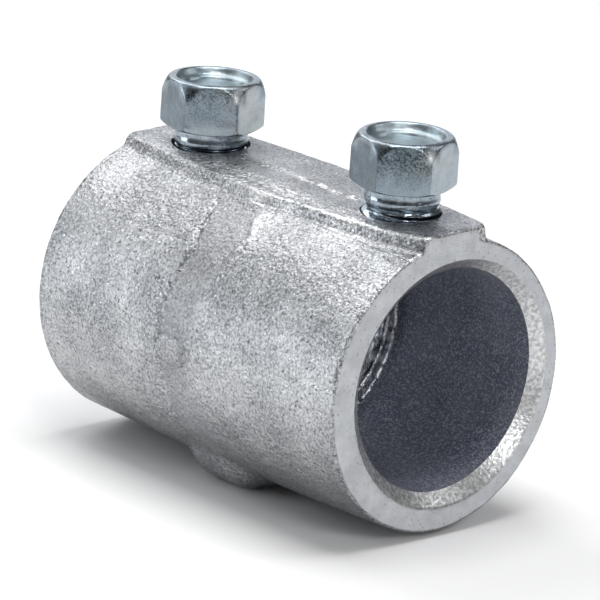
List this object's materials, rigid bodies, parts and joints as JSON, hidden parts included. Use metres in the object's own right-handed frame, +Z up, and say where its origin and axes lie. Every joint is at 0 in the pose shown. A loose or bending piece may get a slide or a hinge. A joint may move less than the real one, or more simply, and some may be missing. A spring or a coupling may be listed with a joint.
{
  "type": "set screw conduit coupling",
  "caption": "Cast sleeve that joins rigid conduits end to end: a socket at each end, a stop ring between them, and hex-head set screws in a pad on top.",
  "frame": {"origin": "on the plane of the foot's flat sole, 18.5 mm straight below the barrel's axis at mid-length; the middle of the sole lies 0.8 mm towards -X", "axes": "+X along the bore towards the near socket, +Z up along the set screws, +Y across the sleeve"},
  "size_m": [0.054, 0.0364, 0.0468],
  "materials": {
    "cast_zinc": "galvanised casting, grainy, half matt",
    "screw_plate": "bright blue zinc plate, glossy"
  },
  "bodies": {
    "sleeve": {"coupling_body": "cast_zinc"},
    "near_screw": {"near_set_screw": "screw_plate"},
    "far_screw": {"far_set_screw": "screw_plate"}
  },
  "joints": [
    {"name": "near_screw_travel", "type": "slide", "parent": "sleeve", "child": "near_screw", "axis": [0, 0, 1], "range_m": [-0.0031, 0.0022]},
    {"name": "far_screw_travel", "type": "slide", "parent": "sleeve", "child": "far_screw", "axis": [0, 0, 1], "range_m": [-0.0019, 0.0034]}
  ]
}
